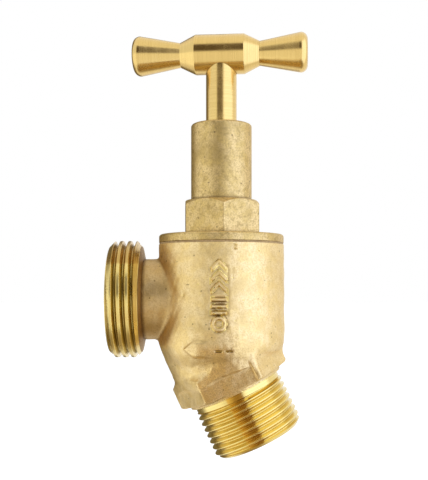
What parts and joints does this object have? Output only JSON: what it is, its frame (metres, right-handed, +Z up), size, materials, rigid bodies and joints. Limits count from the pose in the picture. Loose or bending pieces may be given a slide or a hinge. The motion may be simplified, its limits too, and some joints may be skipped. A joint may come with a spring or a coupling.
{
  "type": "hose bib",
  "caption": "Screw-down hose bib with a T handle on a rising spindle, a hexagon bonnet, a threaded hose outlet at the side and a slanted threaded inlet below.",
  "frame": {"origin": "on the inlet axis, at the shoulder where the inlet thread begins", "axes": "+Z up along the spindle, outlet towards -X, inlet slanting down towards +X at 25.4 degrees from -Z"},
  "size_m": [0.0564, 0.0362, 0.1208],
  "materials": {
    "cast_brass": "sand-cast and blasted, matte",
    "bonnet_brass": "forged and blasted, matte",
    "turned_brass": "lathe-turned, satin",
    "fibre": "vulcanised fibre",
    "seal_rubber": "moulded",
    "valve_rubber": "moulded"
  },
  "bodies": {
    "body": {"tap_body": "cast_brass", "bonnet": "bonnet_brass", "body_washer": "fibre"},
    "valve": {"jumper_valve": "turned_brass", "jumper_washer": "valve_rubber", "jumper_nut": "turned_brass"},
    "spindle_and_handle": {"spindle": "turned_brass", "spindle_o_ring_lower": "seal_rubber", "spindle_o_ring_upper": "seal_rubber", "tee_handle": "turned_brass"}
  },
  "joints": [
    {"name": "valve_lift", "type": "slide", "parent": "body", "child": "valve", "axis": [0, 0, 1], "range_m": [0, 0.0075]},
    {"name": "handle_turn", "type": "hinge", "parent": "valve", "child": "spindle_and_handle", "pos_m": [-0.00412, 0, 0.0725], "axis": [0, 0, 1], "range_deg": [0, 900]}
  ],
  "couplings": [
    {"joint": "valve_lift", "follows": "handle_turn", "m_per_rad": 0.00047746}
  ]
}
